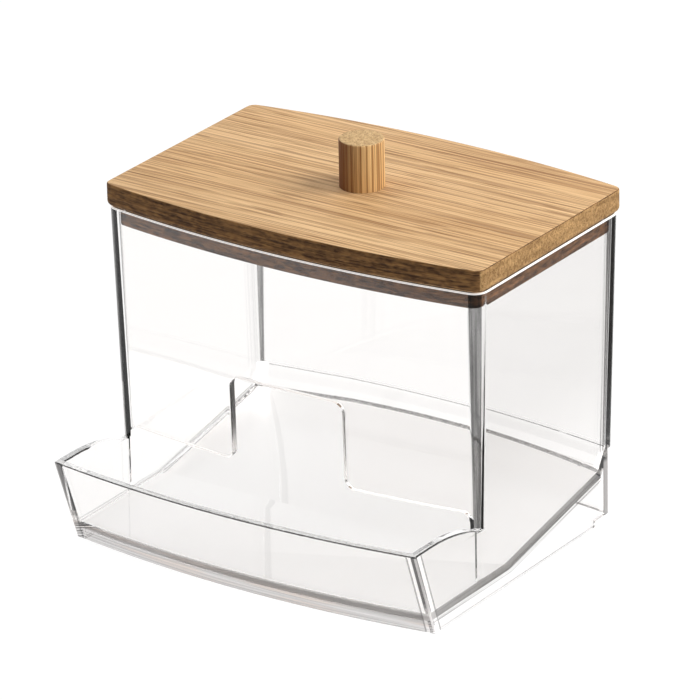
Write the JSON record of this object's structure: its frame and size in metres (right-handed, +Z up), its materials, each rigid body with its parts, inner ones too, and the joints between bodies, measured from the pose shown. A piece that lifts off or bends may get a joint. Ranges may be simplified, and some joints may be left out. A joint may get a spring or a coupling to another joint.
{
  "type": "cotton swab box",
  "caption": "Clear bow-fronted box for cotton swabs with a sloped floor, a dispensing slot over an open tray, and a lift-off bamboo lid with a dowel knob.",
  "frame": {"origin": "middle of the object's footprint on the surface that it stands on", "axes": "+X along the box's width, -Y towards the open tray at the front, +Z up"},
  "size_m": [0.1202, 0.1088, 0.1094],
  "materials": {
    "clear_plastic": "clear and polished",
    "bamboo_board": "satin carbonised bamboo",
    "bamboo_dowel": "satin carbonised bamboo"
  },
  "bodies": {
    "box": {"clear_box": "clear_plastic"},
    "lid": {"lid_board": "bamboo_board", "lid_knob": "bamboo_dowel"}
  },
  "joints": [
    {"name": "lid_lift", "type": "slide", "parent": "box", "child": "lid", "axis": [0, 0, 1], "range_m": [0, 0.06]}
  ]
}
